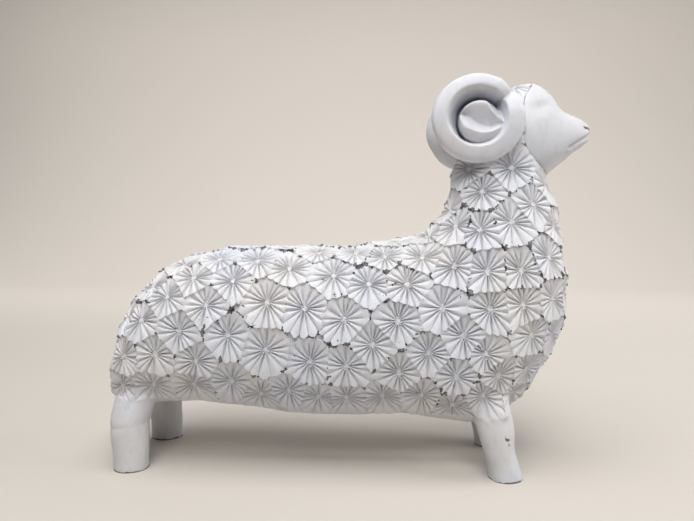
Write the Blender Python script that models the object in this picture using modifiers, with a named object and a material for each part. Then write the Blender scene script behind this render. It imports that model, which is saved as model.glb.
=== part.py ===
"""A standing ram figurine, cast in one piece: a long body and raised neck covered with pressed
rosettes, a smooth head, two coiled horns and four short round legs.

Metres, +Z up. The ram looks along +X, and the origin is on the floor under the middle of its box.
The tables are in millimetres, with x = 0 over the middle of the rear feet and z = 0 on the floor.
"""

import math

import bmesh
import bpy
import numpy as np
from mathutils import Vector
from mathutils.bvhtree import BVHTree

MM = 0.001

# Legs.
LEG_SPACING_Y = 74.7
REAR_LEG_RADIUS = 13.9
FRONT_LEG_RADIUS = 12.2

# Horns: a ring on each side of the head, with a curled tip in its middle.
HORN_SPACING_Y = 60.0
HORN_CENTRE_X = 255.6
HORN_CENTRE_Z = 258.3
HORN_RADIUS = 32.9
HORN_SQUASH = 0.955
HORN_STARTS_AT = 20.0
HORN_SWEEP = 385.0
HORN_TIP_RADIUS = 15.4
HORN_TIP_THICKNESS = 9.0
HORN_TIP_X = 257.6
HORN_TIP_Z = 255.8
HORN_STANDS_OFF = 0.7

# Rosettes: shallow pleated dishes pressed all over the coat. Here each pleat stands for two of the
# object's own, so that they read in a solid of this many triangles.
ROSETTE_SPACING = 28.0
ROSETTE_RADIUS = 18.0
ROSETTE_PETALS = 8
DISH_DEPTH = 2.6
DISH_TILT = 0.7
PLEAT_DEPTH = 2.0
SERRATION = 0.09
GAP_DEPTH = 0.8
LAYOUT_SEED = 7

# How fine the solid is.
BLEND_VOXEL = 1.6
BLEND_STEPS = 9
VOXEL = 1.1
TRIANGLES = 9800

COLOUR = (0.78, 0.79, 0.82, 1.0)
ROUGHNESS = 0.55

# Ribs of the body and neck, rump to crown: x and z of the rib's upper end, x and z of its lower
# end, and half its width.
BODY_RIBS = [
    (-23, 70, -23, 68, 1.0),
    (-19.5, 96, -22, 48, 25.0),
    (-7.5, 121.5, -15, 41, 42.5),
    (6.5, 140, 4, 42, 51.0),
    (27.5, 154.6, 27, 43.5, 54.5),
    (54, 163.5, 54, 44, 56.0),
    (84, 166.6, 84, 41, 56.0),
    (114, 166.4, 114, 37.2, 56.0),
    (144, 166.3, 144, 35.5, 56.0),
    (172, 168.4, 173, 36.5, 56.0),
    (195, 171.4, 204, 37.5, 56.0),
    (209, 174, 236, 33.5, 55.5),
    (219, 178, 265, 33, 54.5),
    (226.3, 185, 293.5, 55.5, 53.0),
    (232, 192.5, 311.5, 82, 50.5),
    (235.5, 200, 323, 109, 47.0),
    (237.5, 207.5, 326.5, 137, 43.0),
    (238.5, 216, 323, 163, 38.5),
    (240.3, 226, 319.5, 187, 34.0),
    (244.5, 237, 314.5, 207, 30.5),
    (252, 251, 308, 224, 28.0),
    (261, 267, 302, 244, 25.0),
    (273, 281, 298, 263, 19.0),
    (286, 287, 291, 283, 3.0),
]
BODY_SQUARENESS = 2.3

# Ribs of the smooth head, crown to nose.
HEAD_RIBS = [
    (268, 270, 278, 236, 8.0),
    (276, 284, 288, 222, 21.0),
    (286, 288.8, 297, 217, 25.0),
    (294, 289.6, 304, 218, 25.5),
    (301, 288.6, 311, 221, 24.5),
    (307, 285.6, 316, 225, 23.0),
    (312.6, 280.4, 321, 229, 20.5),
    (317.4, 273.4, 326, 233, 18.0),
    (324, 267, 330, 237, 15.5),
    (331, 264, 335, 240, 13.0),
    (337, 261, 338, 243, 11.0),
    (341, 258, 341, 247, 8.0),
    (342.5, 253, 342.5, 252, 0.8),
]
HEAD_SQUARENESS = 2.1
HEAD_SAG = 0.28

# Leg centre lines from below the floor up: x, z, shift towards the middle, radius as a share.
REAR_LEG = [
    (-0.6, -3, 0, 0.95),
    (-0.6, 12, 0, 0.94),
    (-1.4, 24, 0.5, 0.98),
    (-1.8, 33, 1.5, 1.03),
    (-0.8, 42, 3.5, 1.06),
    (3, 58, 8.0, 1.1),
]
FRONT_LEG = [
    (276.4, -3, 0, 1.04),
    (274, 11, 0, 0.93),
    (271, 22, 0.5, 0.96),
    (269, 34, 2.0, 1.08),
    (266.5, 47, 5.0, 1.16),
    (265, 62, 10.0, 1.25),
]

# The horn ring's section: outwards from the coil's centre line, and away from the head.
HORN_SECTION = [
    (6.4, -1.5), (6.5, 2.5), (5.7, 5.4), (3.8, 7.0), (0.5, 8.1), (-2.9, 8.8), (-4.0, 8.6), (-4.9, 7.2),
    (-6.2, 4.8), (-9, 0.4), (-12, -5), (-12, -15), (0, -15), (5, -7),
]
HORN_LIP_OUT = -4.5

# Along the ring, by degrees from the front over the top: size of the section, shift away from the
# head, how far its outer edge stands beyond the ring's radius, and how wide its inner wall is.
HORN_ALONG = [
    (20, 0.66, -15, -1.0, 1.0),
    (30, 0.70, -9.5, -1.4, 1.0),
    (38, 0.74, -4.5, -1.8, 1.0),
    (46, 0.78, -0.8, -1.8, 1.0),
    (60, 0.83, 0.8, -0.8, 1.0),
    (90, 0.88, 0.4, 0.0, 1.0),
    (180, 1.0, 0.0, 0.0, 1.0),
    (225, 1.05, -0.2, 0.0, 0.5),
    (270, 1.08, -0.4, 0.0, 0.4),
    (340, 1.2, -1.0, 0.4, 0.6),
    (370, 1.2, -1.6, 0.4, 0.7),
    (390, 1.08, -3.0, 0.0, 0.8),
    (405, 0.85, -7.0, -2.0, 0.8),
]

# The hollow of the curled tip, across its face: x, its upper lip, its bed and its lower lip.
TIP_HOLLOW = [
    (-15.3, 4.2, 3.8, 3.2),
    (-12.6, 8.0, 5.8, -4.0),
    (-8.0, 11.6, 4.0, -6.4),
    (-2.4, 13.8, -0.8, -8.2),
    (3.2, 12.6, -3.2, -8.8),
    (7.2, 6.4, -3.8, -7.6),
    (10.0, 3.0, -3.4, -6.6),
    (15.3, -0.8, -1.8, -4.2),
]
TIP_HOLLOW_DEPTH = 6.5
TIP_WALL_DROP = 4.0
TIP_LIP_FALL = 0.75

# The edge of the smooth head as x over z, and where the coat ends below.
HAIRLINE = [
    (200, 400), (219, 312), (228, 298.6), (236, 292.3), (243, 289.5),
    (250, 290), (270, 290.2), (276, 291.5), (289, 299.5),
]
COAT_EDGE = [(-20, 52), (20, 52), (40, 44), (230, 42), (256, 47), (290, 52)]
COAT_UNDERSIDE = -0.78
SPREADING_STEPS = 14
BELLY_LINE = [
    (-30, 53), (12, 52), (24, 50), (60, 49), (110, 43), (150, 41), (200, 42), (250, 42), (275, 43),
    (290, 49), (310, 50),
]
BELLY_FADE = 3.0
SEAM_DEPTH = 0.7
SEAM_WIDTH = 0.8

# Marks of the face: x, y, z, radius and depth of the eye hollow and of the nostril, on each side,
# and the mouth's line in the side view.
EYE_X = 304.5
EYE_Z = 268.6
EYE_SLOPE = 0.17
EYE_LENGTH = 7.5
EYE_ABOVE = 3.4
EYE_BELOW = 5.2
EYE_DEPTH = 1.7
BROW_HEIGHT = 0.5
NOSTRIL = (340.6, 5.8, 255.7, 2.2, 2.4)
CHIN_LUMP = (313.6, 18.0, 235.8, 2.6, -0.8)
MOUTH = [(343, 249.4), (338, 247.4), (331, 243.2), (324.5, 239.0)]
MOUTH_WIDTH = 1.1
MOUTH_DEPTH = 1.3
LIP_HEIGHT = 0.7
LIP_BELOW = 2.6


def clear_scene():
    for obj in list(bpy.data.objects):
        bpy.data.objects.remove(obj)


def through(points, steps):
    """Rows on a smooth curve (Catmull-Rom) through the given rows."""
    rows = np.array(points, float)
    ends = np.vstack([2 * rows[0] - rows[1], rows, 2 * rows[-1] - rows[-2]])
    out = []
    for i in range(1, len(ends) - 2):
        a, b, c, d = ends[i - 1 : i + 3]
        for t in np.arange(steps) / steps:
            cubic = 2 * a - 5 * b + 4 * c - d
            out.append(0.5 * (2 * b + (c - a) * t + cubic * t**2 + (3 * b - a - 3 * c + d) * t**3))
    return np.array(out + [rows[-1]])


def power(values, exponent):
    return np.sign(values) * np.abs(values) ** exponent


def rib_rings(ribs, squareness, sag=0.0, steps=6, around=96):
    """Points of every ring over the ribs, shaped (rings, around, 3); sag lowers the widest place."""
    rows = through(ribs, steps)
    angle = 2 * math.pi * np.arange(around) / around
    up = power(np.cos(angle), 2 / squareness)[None, :]
    side = power(np.sin(angle), 2 / squareness)[None, :]
    middle_x, middle_z = (rows[:, 0] + rows[:, 2]) / 2, (rows[:, 1] + rows[:, 3]) / 2
    half_x, half_z = (rows[:, 0] - rows[:, 2]) / 2, (rows[:, 1] - rows[:, 3]) / 2
    x = middle_x[:, None] + half_x[:, None] * up
    z = middle_z[:, None] + half_z[:, None] * (up - sag * side**2)
    y = np.maximum(rows[:, 4], 0.5)[:, None] * side
    return np.stack([x, y, z], axis=2)


def skin(name, rings):
    """A closed skin over rings of points, with a point at each end."""
    around = len(rings[0])
    mesh = bmesh.new()
    loops = [[mesh.verts.new(p) for p in ring] for ring in rings[1:-1]]
    for lower, upper in zip(loops, loops[1:]):
        for j in range(around):
            k = (j + 1) % around
            mesh.faces.new((lower[j], lower[k], upper[k], upper[j]))
    for loop, end in ((loops[0], rings[0]), (loops[-1], rings[-1])):
        tip = mesh.verts.new(end.mean(axis=0))
        for j in range(around):
            mesh.faces.new((loop[j], loop[(j + 1) % around], tip))
    bmesh.ops.recalc_face_normals(mesh, faces=mesh.faces)
    return object_of(name, mesh)


def object_of(name, mesh):
    data = bpy.data.meshes.new(name)
    mesh.to_mesh(data)
    mesh.free()
    obj = bpy.data.objects.new(name, data)
    bpy.context.scene.collection.objects.link(obj)
    return obj


def baked(obj, name):
    """The object as its modifiers leave it, as a plain mesh object in its place."""
    bpy.context.view_layer.update()
    graph = bpy.context.evaluated_depsgraph_get()
    data = bpy.data.meshes.new_from_object(obj.evaluated_get(graph))
    bpy.data.objects.remove(obj)
    made = bpy.data.objects.new(name, data)
    bpy.context.scene.collection.objects.link(made)
    return made


def leg(side, line, radius):
    """A round leg along its centre line."""
    rows = through(line, 6)
    angle = 2 * math.pi * np.arange(48) / 48
    rings = []
    for x, z, inward, share in rows:
        y = side * (LEG_SPACING_Y / 2 - inward)
        ring = [(x + radius * share * math.cos(a), y + radius * share * math.sin(a), z) for a in angle]
        rings.append(np.array(ring))
    return skin("leg", [rings[0]] + rings + [rings[-1]])


def horn_ring(side):
    """The horn's ring: its section carried round from the temple over the top and back again."""
    section = through(HORN_SECTION + HORN_SECTION[:1], 4)[:-1]
    angle = np.radians(HORN_STARTS_AT + HORN_SWEEP * np.linspace(0, 1, 96))
    table = np.array(HORN_ALONG)
    degrees = np.degrees(angle)
    size, away, edge, wall = (np.interp(degrees, table[:, 0], table[:, k]) for k in (1, 2, 3, 4))
    reach = HORN_RADIUS + edge - HORN_SECTION[0][0] * size
    rings = []
    for a, s, r, w, share in zip(angle, size, reach, away, wall):
        inside = np.minimum(section[:, 0] - HORN_LIP_OUT, 0)
        out = r + (section[:, 0] - (1 - share) * inside) * s
        x = HORN_CENTRE_X + out * math.cos(a)
        z = HORN_CENTRE_Z + out * math.sin(a) * HORN_SQUASH
        y = side * (HORN_SPACING_Y / 2 + w + section[:, 1] * s)
        rings.append(np.stack([x, y, z], axis=1))
    return skin("horn", [rings[0]] + rings + [rings[-1]])


def ball(name, centre_point, radii, flatness=2.0):
    """A closed rounded form; a flatness over 2 squares it off across the face."""
    mesh = bmesh.new()
    bmesh.ops.create_uvsphere(mesh, u_segments=96, v_segments=64, radius=1.0)
    for vert in mesh.verts:
        flat = (abs(vert.co.y) ** flatness + math.hypot(vert.co.x, vert.co.z) ** flatness) ** (-1 / flatness)
        vert.co = [c + r * v * flat for c, r, v in zip(centre_point, radii, vert.co)]
    return object_of(name, mesh)


def tip_drop(x, z):
    """How far the curled tip's face lies below its rim: a hollow, and the wall under its lower lip."""
    table = np.array(TIP_HOLLOW)
    upper, bed, lower = (np.interp(x, table[:, 0], table[:, k]) for k in (1, 2, 3))
    if z < lower:
        return TIP_WALL_DROP * (lower - z) / (lower + HORN_TIP_RADIUS)
    if z > upper:
        return TIP_LIP_FALL * (z - upper)
    if z > bed:
        share = (upper - z) / max(upper - bed, 0.1)
    else:
        share = (z - lower) / max(bed - lower, 0.1)
    return TIP_HOLLOW_DEPTH * min(1.0, (upper - lower) / 14.0) * min(max(share, 0.0), 1.0)


def horn_tip(side):
    """The curled tip: a thick button with a hollow that narrows to the front."""
    y = side * (HORN_SPACING_Y / 2 - 1.0)
    radii = (HORN_TIP_RADIUS, HORN_TIP_THICKNESS, HORN_TIP_RADIUS)
    tip = ball("tip", (HORN_TIP_X, y, HORN_TIP_Z), radii, 5.0)
    for vert in tip.data.vertices:
        outward = side * (vert.co.y - y) / HORN_TIP_THICKNESS
        if outward > 0:
            drop = tip_drop(vert.co.x - HORN_TIP_X, vert.co.z - HORN_TIP_Z)
            vert.co.y -= side * drop * min(1.0, outward * 1.6)
    return tip


def horn_root(side):
    """What joins the ring and the tip to the head."""
    place = (HORN_CENTRE_X + 1, side * (HORN_SPACING_Y / 2 - 19), HORN_CENTRE_Z)
    return ball("root", place, (27.0, 12.0, 25.5), 2.4)


def joined(name, objects):
    mesh = bmesh.new()
    for obj in objects:
        mesh.from_mesh(obj.data)
        bpy.data.objects.remove(obj)
    return object_of(name, mesh)


def fused(obj, voxel, smoothing):
    """One closed skin round everything in the object, with its creases softened."""
    remesh = obj.modifiers.new("fuse", "REMESH")
    remesh.mode = "VOXEL"
    remesh.voxel_size = voxel
    soften = obj.modifiers.new("soften", "SMOOTH")
    soften.factor = 0.5
    soften.iterations = smoothing
    return baked(obj, obj.name)


def arrays_of(obj):
    """The mesh's points and vertex normals."""
    data = obj.data
    points = np.empty(len(data.vertices) * 3, np.float32)
    normals = np.empty(len(data.vertices) * 3, np.float32)
    data.vertices.foreach_get("co", points)
    data.vertex_normals.foreach_get("vector", normals)
    return points.reshape(-1, 3).astype(float), normals.reshape(-1, 3).astype(float)


def set_points(obj, points):
    obj.data.vertices.foreach_set("co", points.astype(np.float32).ravel())
    obj.data.update()


def plain_body():
    """Body, neck, head and legs in one skin."""
    parts = [
        skin("body", rib_rings(BODY_RIBS, BODY_SQUARENESS)),
        skin("head", rib_rings(HEAD_RIBS, HEAD_SQUARENESS, HEAD_SAG)),
    ]
    for side in (-1, 1):
        parts.append(leg(side, REAR_LEG, REAR_LEG_RADIUS))
        parts.append(leg(side, FRONT_LEG, FRONT_LEG_RADIUS))
    return fused(joined("ram", parts), BLEND_VOXEL, BLEND_STEPS)


def with_horns(body, voxel):
    parts = [body]
    for side in (-1, 1):
        parts += [horn_ring(side), horn_tip(side), horn_root(side)]
    return fused(joined("ram", parts), voxel, 2)


def smooth_step(low, high, value):
    t = np.clip((value - low) / (high - low), 0, 1)
    return t * t * (3 - 2 * t)


def behind_hairline(points):
    """How far behind the edge of the smooth head each point lies."""
    table = np.array(HAIRLINE)
    return np.interp(points[:, 2], table[:, 0], table[:, 1]) - points[:, 0]


def distances(points, centres):
    square = (points**2).sum(1)[:, None] + (centres**2).sum(1)[None, :] - 2 * points @ centres.T
    return np.sqrt(np.maximum(square, 0))


def rosette_centres(body):
    """Places spread evenly over the coat, by moving each to the middle of its share of it."""
    points, normals = arrays_of(body)
    edge = np.interp(points[:, 0], *np.array(COAT_EDGE).T)
    coat = (points[:, 2] > edge) & (normals[:, 2] > COAT_UNDERSIDE) & (behind_hairline(points) > 0)
    area = sum(polygon.area for polygon in body.data.polygons) * coat.mean()
    count = round(area / (0.866 * ROSETTE_SPACING**2))
    points = points[coat]
    chance = np.random.default_rng(LAYOUT_SEED)
    points = points[chance.choice(len(points), 12000, replace=False)]
    centres = points[chance.choice(len(points), count, replace=False)]
    for _ in range(SPREADING_STEPS):
        nearest = distances(points, centres).argmin(axis=1)
        share = np.maximum(np.bincount(nearest, minlength=count), 1)
        sums = [np.bincount(nearest, points[:, k], count) for k in range(3)]
        centres = np.stack(sums, axis=1) / share[:, None]
    return centres


def surface_of(obj):
    """The object's faces in a form that finds the nearest point quickly."""
    polygons = [p.vertices for p in obj.data.polygons]
    return BVHTree.FromPolygons([v.co for v in obj.data.vertices], polygons)


def rosette_frames(surface, centres):
    """Each centre moved onto the skin, with its normal and its downhill and sideways directions."""
    hits = [surface.find_nearest(Vector(centre)) for centre in centres]
    places, normals = np.array([h[0] for h in hits]), np.array([h[1] for h in hits])
    fall = np.tile((0.0, 0.0, -1.0), (len(places), 1))
    fall[:, 1] = 0.35 * np.sign(places[:, 1])
    downhill = fall - (fall * normals).sum(1)[:, None] * normals
    downhill /= np.linalg.norm(downhill, axis=1)[:, None]
    return places, normals, downhill, np.cross(normals, downhill)


def rosette_relief(points, frames):
    """Height of the rosettes above the skin at each point, and which points no rosette covers."""
    places, _, downhill, sideways = frames
    chance = np.random.default_rng(LAYOUT_SEED + 1)
    phase = chance.uniform(0, 2 * math.pi, len(places))
    lift = chance.uniform(-0.3, 0.3, len(places))
    apart = distances(points, places)
    closest = np.argpartition(apart, 3, axis=1)[:, :3]
    best = np.full(len(points), 9.0)
    height = np.full(len(points), -GAP_DEPTH)
    for k in range(3):
        i = closest[:, k]
        arm = points - places[i]
        r = np.linalg.norm(arm, axis=1)
        down = (arm * downhill[i]).sum(1) / np.maximum(r, 1e-3)
        side = (arm * sideways[i]).sum(1) / np.maximum(r, 1e-3)
        turn = np.arctan2(down, side) * ROSETTE_PETALS / (2 * math.pi) + phase[i]
        petal = 1 - np.abs(2 * (turn - np.floor(turn)) - 1)
        reach = ROSETTE_RADIUS * (1 + 0.06 * down) * (1 + SERRATION * (petal - 0.6))
        q = r / reach
        pleat = PLEAT_DEPTH * np.clip(q * 2.6, 0, 1) * (1.15 - 0.6 * np.clip(q, 0, 1))
        h = DISH_DEPTH * (q**1.1 - 0.25) + DISH_TILT * down * q + lift[i] - pleat * (1 - petal)
        wins = (q < best) & (q < 1.0)
        height = np.where(wins, h, height)
        best = np.minimum(best, q)
    plain = (best >= 1.0) & (apart.min(axis=1) > ROSETTE_RADIUS * 1.3)
    return height, plain


def line_distance(points, line):
    """Distance in the side view from a curve through the given (x, z) places."""
    rows = through(line, 8)
    flat = points[:, [0, 2]]
    nearest = np.full(len(points), np.inf)
    for start, end in zip(rows, rows[1:]):
        run = end - start
        share = np.clip((flat - start) @ run / (run @ run), 0, 1)
        nearest = np.minimum(nearest, np.linalg.norm(flat - start - share[:, None] * run, axis=1))
    return nearest


def face_relief(points):
    """Depth of the seam along the hairline and of the eye, nostril and mouth."""
    x, y, z = points[:, 0], np.abs(points[:, 1]), points[:, 2]
    off = behind_hairline(points) / SEAM_WIDTH
    height = np.where(z > 215, -SEAM_DEPTH * np.exp(-(off**2)), 0.0)
    for at_x, at_y, at_z, radius, depth in (NOSTRIL, CHIN_LUMP):
        square = (x - at_x) ** 2 + (y - at_y) ** 2 + (z - at_z) ** 2
        height -= depth * np.exp(-square / radius**2)
    side = smooth_step(8, 15, y)
    along = np.exp(-(((x - EYE_X) / EYE_LENGTH) ** 2)) * side
    above = z - EYE_Z - EYE_SLOPE * (x - EYE_X)
    hollow = np.exp(-((above / np.where(above > 0, EYE_ABOVE, EYE_BELOW)) ** 2))
    brow = np.exp(-(((above - 2 * EYE_ABOVE) / EYE_ABOVE) ** 2))
    height += along * (BROW_HEIGHT * brow - EYE_DEPTH * hollow)
    near = x > MOUTH[-1][0] - 10
    height[near] -= MOUTH_DEPTH * np.exp(-((line_distance(points[near], MOUTH) / MOUTH_WIDTH) ** 2))
    below = [(x, z - LIP_BELOW) for x, z in MOUTH]
    height[near] += LIP_HEIGHT * np.exp(-((line_distance(points[near], below) / LIP_BELOW * 1.6) ** 2))
    return height


def on_horn(points, surface):
    """Which points belong to the horns: those round the coils that stand off the plain body."""
    out = np.hypot(points[:, 0] - HORN_CENTRE_X, points[:, 2] - HORN_CENTRE_Z)
    found = np.zeros(len(points), bool)
    for i in np.flatnonzero(out < HORN_RADIUS + 4):
        found[i] = surface.find_nearest(Vector(points[i]))[3] > HORN_STANDS_OFF
    return found


def carve(obj, surface, centres):
    """Raises the rosettes on the coat and leaves the head, horns, legs and belly smooth."""
    points, normals = arrays_of(obj)
    height, plain = rosette_relief(points, rosette_frames(surface, centres))
    height[plain | (behind_hairline(points) < 0)] = 0.0
    above = points[:, 2] - np.interp(points[:, 0], *np.array(BELLY_LINE).T)
    height *= smooth_step(0, BELLY_FADE, above)
    head = points[:, 0] > HAIRLINE[4][1] - 10
    height[head] += face_relief(points[head])
    height[on_horn(points, surface)] = 0.0
    set_points(obj, points + normals * height[:, None])


def cut_flat(obj, level):
    """Cuts the feet off flat at this height."""
    mesh = bmesh.new()
    mesh.from_mesh(obj.data)
    geometry = mesh.verts[:] + mesh.edges[:] + mesh.faces[:]
    cut = bmesh.ops.bisect_plane(
        mesh, geom=geometry, dist=1e-4, plane_co=(0, 0, level), plane_no=(0, 0, 1), clear_inner=True
    )
    edges = [e for e in cut["geom_cut"] if isinstance(e, bmesh.types.BMEdge)]
    bmesh.ops.holes_fill(mesh, edges=edges, sides=0)
    mesh.to_mesh(obj.data)
    mesh.free()


def coarsened(obj, triangles):
    """The same form in about that many triangles."""
    faces = sum(len(p.vertices) - 2 for p in obj.data.polygons)
    decimate = obj.modifiers.new("coarsen", "DECIMATE")
    decimate.ratio = triangles / faces
    decimate.use_collapse_triangulate = True
    return baked(obj, obj.name)


def placed(obj):
    """Puts the origin under the middle of the box and turns millimetres into metres."""
    points, _ = arrays_of(obj)
    middle = (points.min(0) + points.max(0)) / 2
    points[:, 0] -= middle[0]
    points[:, 1] -= middle[1]
    points[np.abs(points[:, 2]) < 0.05, 2] = 0.0
    set_points(obj, points * MM)


def painted(obj):
    material = bpy.data.materials.new("white_paint")
    material.use_nodes = True
    shader = material.node_tree.nodes["Principled BSDF"]
    shader.inputs["Base Color"].default_value = COLOUR
    shader.inputs["Roughness"].default_value = ROUGHNESS
    shader.inputs["Metallic"].default_value = 0.0
    obj.data.materials.clear()
    obj.data.materials.append(material)


def main():
    clear_scene()
    body = plain_body()
    surface = surface_of(body)
    centres = rosette_centres(body)
    ram = with_horns(body, VOXEL)
    carve(ram, surface, centres)
    ram = coarsened(ram, TRIANGLES)
    cut_flat(ram, 0.0)
    ram.name = "ram"
    placed(ram)
    painted(ram)
    collection = bpy.data.collections.new("ram_figurine")
    bpy.context.scene.collection.children.link(collection)
    bpy.context.scene.collection.objects.unlink(ram)
    collection.objects.link(ram)


main()
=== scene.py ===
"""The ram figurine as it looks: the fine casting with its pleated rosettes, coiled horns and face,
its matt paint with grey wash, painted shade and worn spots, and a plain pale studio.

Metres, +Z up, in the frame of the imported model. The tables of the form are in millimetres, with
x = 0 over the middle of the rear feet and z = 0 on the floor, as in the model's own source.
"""

import math

import bmesh
import bpy
import numpy as np
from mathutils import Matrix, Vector
from mathutils.bvhtree import BVHTree

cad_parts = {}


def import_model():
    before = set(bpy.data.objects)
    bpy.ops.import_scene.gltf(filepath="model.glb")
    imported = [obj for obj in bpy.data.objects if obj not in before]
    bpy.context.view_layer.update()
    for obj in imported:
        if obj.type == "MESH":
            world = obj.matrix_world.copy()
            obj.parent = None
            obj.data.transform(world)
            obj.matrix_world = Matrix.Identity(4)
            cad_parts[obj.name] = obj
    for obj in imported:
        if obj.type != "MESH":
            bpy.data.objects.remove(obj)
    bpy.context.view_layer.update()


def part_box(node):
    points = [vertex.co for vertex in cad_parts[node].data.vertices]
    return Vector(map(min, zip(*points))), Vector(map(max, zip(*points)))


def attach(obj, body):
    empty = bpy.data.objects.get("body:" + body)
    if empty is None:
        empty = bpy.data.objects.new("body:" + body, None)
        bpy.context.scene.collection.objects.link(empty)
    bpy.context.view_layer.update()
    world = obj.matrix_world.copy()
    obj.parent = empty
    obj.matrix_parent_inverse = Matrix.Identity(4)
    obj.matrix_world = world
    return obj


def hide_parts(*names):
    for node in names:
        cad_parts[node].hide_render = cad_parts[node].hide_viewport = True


MM = 0.001

# Camera: where it stands, how it is turned and its lens.
CAMERA_PLACE = (0.0366, -0.4852, 0.1726)
CAMERA_YAW = -4.256
CAMERA_PITCH = 2.109
CAMERA_LENS = 32.18
CAMERA_SENSOR = 36.0
CAMERA_CLIP = 0.01

# Legs.
LEG_SPACING_Y = 74.7
REAR_LEG_RADIUS = 13.9
FRONT_LEG_RADIUS = 12.2

# Horns: a ring on each side of the head, with a curled tip in its middle and a plain root behind.
HORN_SPACING_Y = 60.0
HORN_CENTRE_X = 255.6
HORN_CENTRE_Z = 258.3
HORN_RADIUS = 32.9
HORN_SQUASH = 0.955
HORN_STARTS_AT = 20.0
HORN_SWEEP = 385.0
HORN_TIP_RADIUS = 15.4
HORN_TIP_THICKNESS = 9.0
HORN_TIP_X = 257.6
HORN_TIP_Z = 255.8
HORN_TIP_IN = 1.0
HORN_TIP_FLATNESS = 5.0
HORN_TIP_EDGE = 1.6
HORN_ROOT_AHEAD = 1.0
HORN_ROOT_IN = 19.0
HORN_ROOT_RADII = (27.0, 12.0, 25.5)
HORN_ROOT_FLATNESS = 2.4
HORN_STANDS_OFF = 0.6
HORN_MARGIN = 4.0

# Rosettes: shallow pleated dishes pressed all over the coat, each lower edge over the next one's top.
ROSETTE_SPACING = 28.0
ROSETTE_RADIUS = 19.6
ROSETTE_SIZE_SPREAD = 0.06
ROSETTE_FALL = 0.06
ROSETTE_LIFT = 0.2
PETALS_LEAST = 15
PETALS_MOST = 18
DISH_DEPTH = 4.0
DISH_LEVEL = 0.55
DISH_TILT = 1.0
OUTWARD_FALL = 0.35
PLEAT_DEPTH = 1.8
PLEAT_POINTED = 1.5
PLEAT_UNEVEN = 0.2
PLEAT_VARIES = 0.3
PLEAT_VARIES_TURN = 2.4
PLEAT_VARIES_SWAY = 5.0
TOOTH = 0.13
GAP_DEPTH = 1.0
CREASE_REACH = 0.32
CREASE_STARTS = 1.5

# Where the parts of a rosette fade in: as shares of the way out, of the way downhill, and of the
# difference to the next rosette.
RIM_FADE = (0.5, 0.92)
RIM_FLATTENS = 0.7
LOW_SIDE_FADE = (-0.1, 0.5)
LOW_SIDE_KEEPS = 0.75
TOOTH_FADE = (-0.2, 0.4)
MIDDLE_FADE = (0.0, 0.2)
UNDER_FADE = (0.1, 0.5)
UNDER_WIDTH = (0.0, 0.07)
RIM_WIDTH = (0.0, 0.1)
CORNER_WIDTH = (0.02, 0.24)
COAT_REACH = 1.3

# How the rosettes are laid out: with one to each cell of a honeycomb of this spacing.
LAYOUT_SEED = 7
LAYOUT_POINTS = 12000
SPREADING_STEPS = 14
HONEYCOMB_CELL = 0.866

# How fine the casting is, and how many points are worked on at a time.
RIB_STEPS = 6
RIB_POINTS = 96
LEG_POINTS = 48
BLEND_VOXEL = 1.6
BLEND_STEPS = 9
HORN_BLEND_STEPS = 3
VOXEL = 0.6
TRIANGLES = 196000
SHARP_ANGLE = 34.0
FLOOR_TOLERANCE = 0.05
POINTS_AT_A_TIME = 40000

# Ribs of the body and neck, rump to crown: x and z of the rib's upper end, x and z of its lower
# end, and half its width.
BODY_RIBS = [
    (-23, 70, -23, 68, 1.0),
    (-19.5, 96, -22, 48, 25.0),
    (-7.5, 121.5, -15, 41, 42.5),
    (6.5, 140, 4, 42, 51.0),
    (27.5, 154.6, 27, 43.5, 54.5),
    (54, 163.5, 54, 44, 56.0),
    (84, 166.6, 84, 41, 56.0),
    (114, 166.4, 114, 37.2, 56.0),
    (144, 166.3, 144, 35.5, 56.0),
    (172, 168.4, 173, 36.5, 56.0),
    (195, 171.4, 204, 37.5, 56.0),
    (209, 174, 236, 33.5, 55.5),
    (219, 178, 265, 33, 54.5),
    (226.3, 185, 293.5, 55.5, 53.0),
    (232, 192.5, 311.5, 82, 50.5),
    (235.5, 200, 323, 109, 47.0),
    (237.5, 207.5, 326.5, 137, 43.0),
    (238.5, 216, 323, 163, 38.5),
    (240.3, 226, 319.5, 187, 34.0),
    (244.5, 237, 314.5, 207, 30.5),
    (252, 251, 308, 224, 28.0),
    (261, 267, 302, 244, 25.0),
    (273, 281, 298, 263, 19.0),
    (286, 287, 291, 283, 3.0),
]
BODY_SQUARENESS = 2.3

# Ribs of the smooth head, crown to nose.
HEAD_RIBS = [
    (268, 270, 278, 236, 8.0),
    (276, 284, 288, 222, 21.0),
    (286, 288.8, 297, 217, 25.0),
    (294, 289.6, 304, 218, 25.5),
    (301, 288.6, 311, 221, 24.5),
    (307, 285.6, 316, 225, 23.0),
    (312.6, 280.4, 321, 229, 20.5),
    (317.4, 273.4, 326, 233, 18.0),
    (324, 267, 330, 237, 15.5),
    (331, 264, 335, 240, 13.0),
    (337, 261, 338, 243, 11.0),
    (341, 258, 341, 247, 8.0),
    (342.5, 253, 342.5, 252, 0.8),
]
HEAD_SQUARENESS = 2.1
HEAD_SAG = 0.28

# Leg centre lines from below the floor up: x, z, shift towards the middle, radius as a share.
REAR_LEG = [
    (-0.6, -3, 0, 0.95),
    (-0.6, 12, 0, 0.94),
    (-1.4, 24, 0.5, 0.98),
    (-1.8, 33, 1.5, 1.03),
    (-0.8, 42, 3.5, 1.06),
    (3, 58, 8.0, 1.1),
]
FRONT_LEG = [
    (276.4, -3, 0, 1.04),
    (274, 11, 0, 0.93),
    (271, 22, 0.5, 0.96),
    (269, 34, 2.0, 1.08),
    (266.5, 47, 5.0, 1.16),
    (265, 62, 10.0, 1.25),
]

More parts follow.
